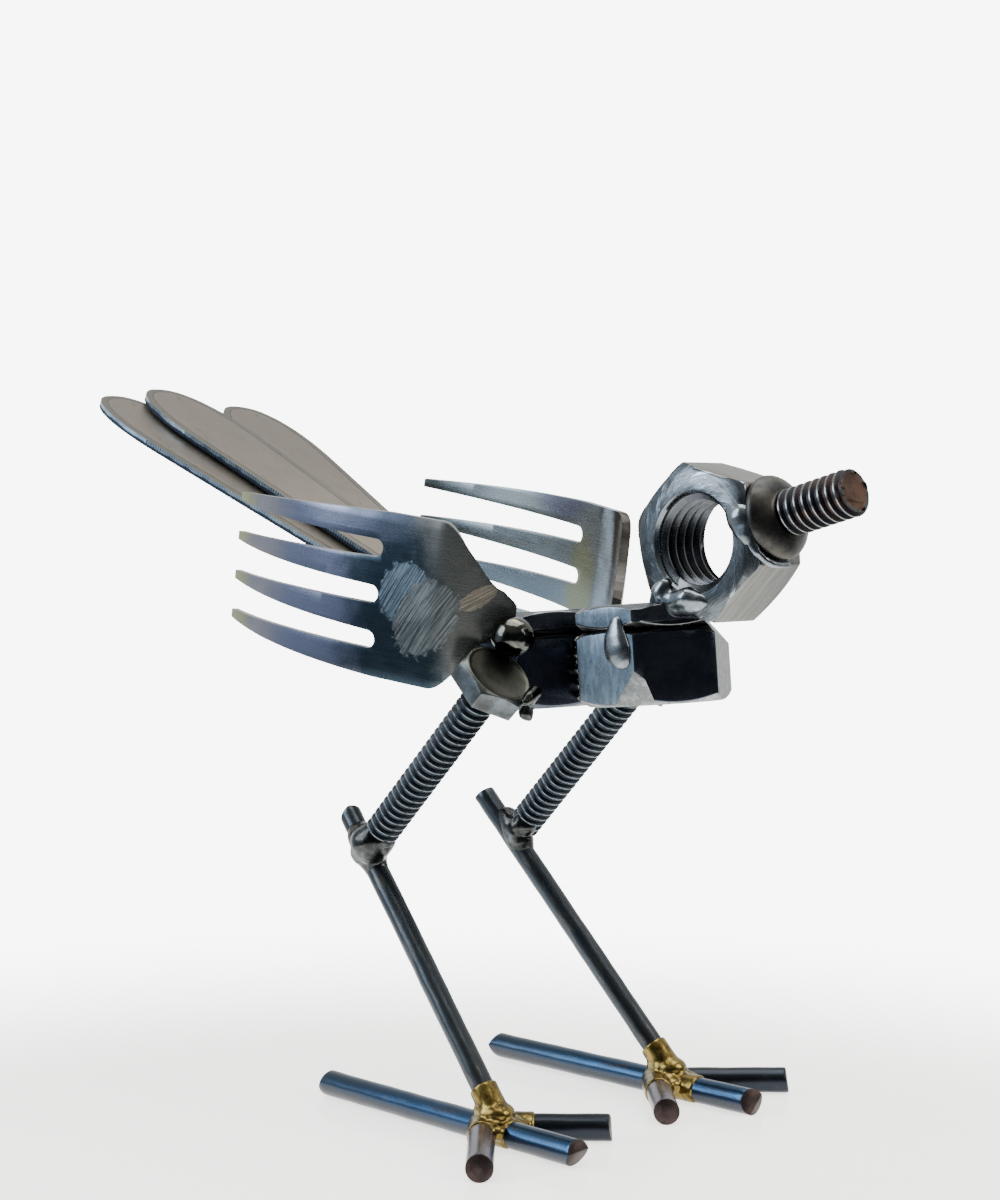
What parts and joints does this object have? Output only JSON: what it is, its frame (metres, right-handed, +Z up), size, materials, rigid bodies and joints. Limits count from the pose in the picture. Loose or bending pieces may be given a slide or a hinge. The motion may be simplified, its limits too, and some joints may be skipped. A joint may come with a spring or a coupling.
{
  "type": "scrap metal bird sculpture",
  "caption": "Small standing bird welded from hexagon nuts, threaded bolts, steel rod, fork heads and table-knife blades, with spread toes and a raised fanned tail.",
  "frame": {"origin": "centre of the bounding box on the ground plane under the toes", "axes": "+X is the way the bird looks, beak forward; +Y is its left side; +Z is up"},
  "size_m": [0.1864, 0.0842, 0.1349],
  "materials": {
    "nut_steel": "blue-grey mill steel, ground bright in places",
    "bolt_steel": "dark oiled steel with bright thread crests",
    "rod_steel": "dark drawn rod with blue heat tint near the joints",
    "fork_steel": "heat-tinted stainless, blue to straw at the tips",
    "blade_steel": "satin warm grey stainless",
    "weld_metal": "dark glassy weld bead",
    "braze_metal": "glossy gold-brown braze"
  },
  "bodies": {
    "root": {"body_nut_rear": "nut_steel", "lock_nut_rear": "nut_steel", "body_nut_front": "nut_steel", "lock_nut_front": "nut_steel", "head_nut": "nut_steel", "beak_bolt": "bolt_steel", "thigh_bolt_right": "bolt_steel", "shin_rod_right": "rod_steel", "foot_rod_right": "rod_steel", "outer_toe_right": "rod_steel", "inner_toe_right": "rod_steel", "fork_wing_right": "fork_steel", "weld_hip_right": "weld_metal", "weld_knee_right": "weld_metal", "ankle_braze_right": "braze_metal", "thigh_bolt_left": "bolt_steel", "shin_rod_left": "rod_steel", "foot_rod_left": "rod_steel", "outer_toe_left": "rod_steel", "inner_toe_left": "rod_steel", "fork_wing_left": "fork_steel", "weld_hip_left": "weld_metal", "weld_knee_left": "weld_metal", "ankle_braze_left": "braze_metal", "tail_blade_middle": "blade_steel", "tail_blade_right": "blade_steel", "tail_blade_left": "blade_steel", "weld_neck_right": "weld_metal", "weld_waist_right": "weld_metal", "weld_neck_left": "weld_metal", "weld_waist_left": "weld_metal", "weld_chest": "weld_metal", "weld_drip": "weld_metal", "weld_tail": "weld_metal"}
  },
  "joints": []
}
